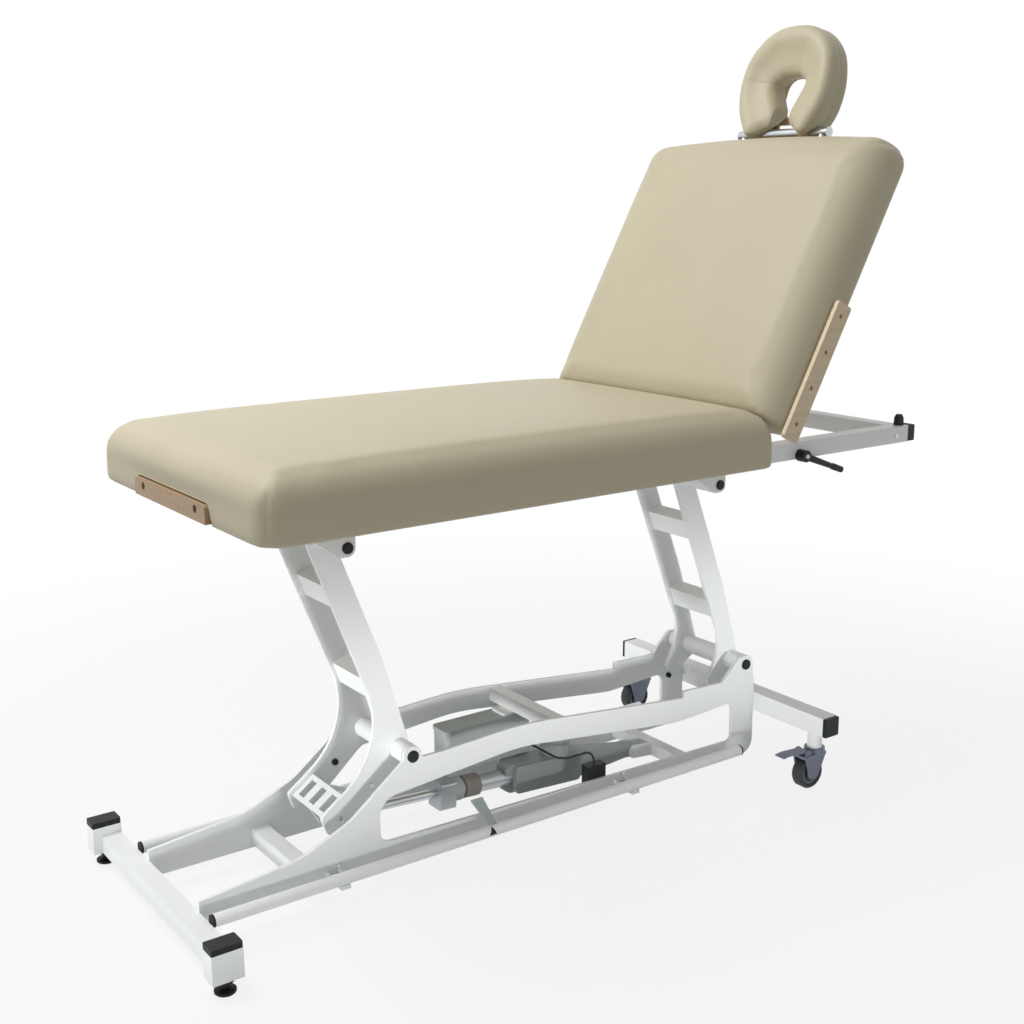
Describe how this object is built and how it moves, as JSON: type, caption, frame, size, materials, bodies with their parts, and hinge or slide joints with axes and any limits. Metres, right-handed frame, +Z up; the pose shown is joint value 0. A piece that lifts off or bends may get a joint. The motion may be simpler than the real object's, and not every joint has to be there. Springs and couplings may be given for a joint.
{
  "type": "electric massage table",
  "caption": "Height-adjustable massage table with a sloping lift back, padded seat, face rest, leaning lift legs, an electric actuator, foot bars and swivel casters.",
  "frame": {"origin": "middle of the overall box at floor level", "axes": "+X from the foot end to the head end, +Z up, +Y to the side away from the release lever"},
  "size_m": [1.9521, 0.7826, 1.7444],
  "materials": {
    "white_powder_coat": "satin powder coat",
    "black_plastic": "moulded, fine texture",
    "black_rubber": "matt",
    "bright_steel": "ground",
    "black_enamel": "gloss enamel",
    "grey_plastic": "moulded",
    "light_aluminium": "extruded, satin",
    "plywood": "sanded",
    "maple": "clear lacquer",
    "tan_vinyl": "soft upholstery vinyl",
    "caster_grey": "zinc grey",
    "caster_tread": "moulded tread"
  },
  "bodies": {
    "base": {"side_plate_near": "white_powder_coat", "side_plate_far": "white_powder_coat", "foot_beam": "white_powder_coat", "foot_posts": "white_powder_coat", "base_cross_tubes": "white_powder_coat", "caster_beam": "white_powder_coat", "base_end_caps": "black_plastic", "levelling_feet": "black_plastic", "base_pivot_shafts": "bright_steel", "base_pivot_caps": "black_plastic", "control_box": "grey_plastic", "control_box_lid": "grey_plastic", "box_hanger": "white_powder_coat", "power_inlet": "black_plastic", "foot_switch": "black_plastic", "switch_cable": "black_rubber", "foot_bar_brackets": "white_powder_coat", "bracket_bolts": "bright_steel", "actuator_anchor": "white_powder_coat", "actuator_housing": "grey_plastic", "actuator_tube": "light_aluminium", "caster_sockets": "white_powder_coat"},
    "foot_bar_near": {"foot_bar_near": "white_powder_coat", "foot_bar_near_plugs": "black_plastic"},
    "foot_bar_far": {"foot_bar_far": "white_powder_coat", "foot_bar_far_plugs": "black_plastic"},
    "front_leg": {"front_leg_plates": "white_powder_coat", "front_leg_rungs": "white_powder_coat", "lever_yoke": "white_powder_coat"},
    "rear_leg": {"rear_leg_plates": "white_powder_coat", "rear_leg_rungs": "white_powder_coat"},
    "actuator_rod": {"actuator_rod": "bright_steel"},
    "top_frame": {"top_rail_near": "white_powder_coat", "top_rail_far": "white_powder_coat", "top_cross_rails": "white_powder_coat", "rail_rubbers": "black_rubber", "leg_lugs": "white_powder_coat", "top_pivot_shafts": "bright_steel", "top_pivot_caps": "black_plastic", "seat_deck": "plywood", "seat_cushion": "tan_vinyl", "foot_end_block": "maple", "hinge_lugs": "white_powder_coat"},
    "back": {"back_deck": "plywood", "back_cushion": "tan_vinyl", "hinge_arms": "white_powder_coat", "side_strips": "maple", "head_end_block": "maple"},
    "gas_cylinder": {"gas_cylinder": "black_enamel"},
    "gas_rod": {"gas_rod": "bright_steel"},
    "release_lever": {"release_lever": "black_plastic"},
    "face_rest_frame": {"face_rest_frame": "bright_steel"},
    "face_rest_head": {"face_rest_platform": "plywood", "face_rest_cushion": "tan_vinyl"},
    "caster_near": {"caster_fork_near": "caster_grey"},
    "wheel_near": {"caster_wheel_near": "caster_tread"},
    "pedal_near": {"caster_pedal_near": "grey_plastic"},
    "caster_far": {"caster_fork_far": "caster_grey"},
    "wheel_far": {"caster_wheel_far": "caster_tread"},
    "pedal_far": {"caster_pedal_far": "grey_plastic"}
  },
  "joints": [
    {"name": "lift", "type": "hinge", "parent": "base", "child": "front_leg", "pos_m": [-0.451, 0, 0.257], "axis": [0, 1, 0], "range_deg": [-64, 0]},
    {"name": "rear_leg_swing", "type": "hinge", "parent": "base", "child": "rear_leg", "pos_m": [0.484, 0, 0.257], "axis": [0, 1, 0], "range_deg": [-64, 0]},
    {"name": "top_level", "type": "hinge", "parent": "front_leg", "child": "top_frame", "pos_m": [-0.61989, 0, 0.72974], "axis": [0, 1, 0], "range_deg": [0, 64]},
    {"name": "rod_stroke", "type": "slide", "parent": "base", "child": "actuator_rod", "axis": [-0.9983, 0, 0.0576], "range_m": [-0.182, 0]},
    {"name": "back_lift", "type": "hinge", "parent": "top_frame", "child": "back", "pos_m": [0.28611, 0, 0.86974], "axis": [0, -1, 0], "range_deg": [-61, 7]},
    {"name": "spring_swing", "type": "hinge", "parent": "top_frame", "child": "gas_cylinder", "pos_m": [0.27042, 0.235, 0.69042], "axis": [0, -1, 0], "range_deg": [-30.5, 3.5]},
    {"name": "spring_rod_swing", "type": "hinge", "parent": "back", "child": "gas_rod", "pos_m": [0.4404, 0.235, 0.96244], "axis": [0, -1, 0], "range_deg": [-3.5, 30.5]},
    {"name": "release", "type": "hinge", "parent": "top_frame", "child": "release_lever", "pos_m": [0.56611, -0.212, 0.76874], "axis": [0, -1, 0], "range_deg": [0, 25], "stiffness_Nm_per_rad": 0.6, "springref_deg": -20.05},
    {"name": "foot_bar_near_rock", "type": "hinge", "parent": "base", "child": "foot_bar_near", "pos_m": [-0.641, -0.141, 0.05325], "axis": [1, 0, 0], "range_deg": [-8, 8], "stiffness_Nm_per_rad": 60},
    {"name": "foot_bar_far_rock", "type": "hinge", "parent": "base", "child": "foot_bar_far", "pos_m": [-0.641, 0.141, 0.05325], "axis": [-1, 0, 0], "range_deg": [-8, 8], "stiffness_Nm_per_rad": 60},
    {"name": "face_rest_slide", "type": "slide", "parent": "back", "child": "face_rest_frame", "axis": [0.4848, 0, 0.8746], "range_m": [0, 0.045]},
    {"name": "face_rest_tilt", "type": "hinge", "parent": "face_rest_frame", "child": "face_rest_head", "pos_m": [0.68322, 0, 1.49456], "axis": [0, -1, 0], "range_deg": [-39, 11]},
    {"name": "swivel_near", "type": "hinge", "parent": "base", "child": "caster_near", "pos_m": [0.5365, -0.31, 0.11], "axis": [0, 0, 1], "continuous": true},
    {"name": "wheel_spin_near", "type": "hinge", "parent": "caster_near", "child": "wheel_near", "pos_m": [0.5145, -0.31, 0.0375], "axis": [0, 1, 0], "continuous": true},
    {"name": "brake_near", "type": "hinge", "parent": "caster_near", "child": "pedal_near", "pos_m": [0.4985, -0.31, 0.092], "axis": [0, -1, 0], "range_deg": [0, 10]},
    {"name": "swivel_far", "type": "hinge", "parent": "base", "child": "caster_far", "pos_m": [0.5365, 0.31, 0.11], "axis": [0, 0, 1], "continuous": true},
    {"name": "wheel_spin_far", "type": "hinge", "parent": "caster_far", "child": "wheel_far", "pos_m": [0.5145, 0.31, 0.0375], "axis": [0, 1, 0], "continuous": true},
    {"name": "brake_far", "type": "hinge", "parent": "caster_far", "child": "pedal_far", "pos_m": [0.4985, 0.31, 0.092], "axis": [0, -1, 0], "range_deg": [0, 10]}
  ],
  "couplings": [
    {"joint": "rear_leg_swing", "follows": "lift", "ratio": 1},
    {"joint": "top_level", "follows": "lift", "ratio": -1},
    {"joint": "rod_stroke", "follows": "lift", "m_per_rad": 0.16051},
    {"joint": "spring_swing", "follows": "back_lift", "ratio": 0.5},
    {"joint": "spring_rod_swing", "follows": "back_lift", "ratio": -0.5}
  ]
}
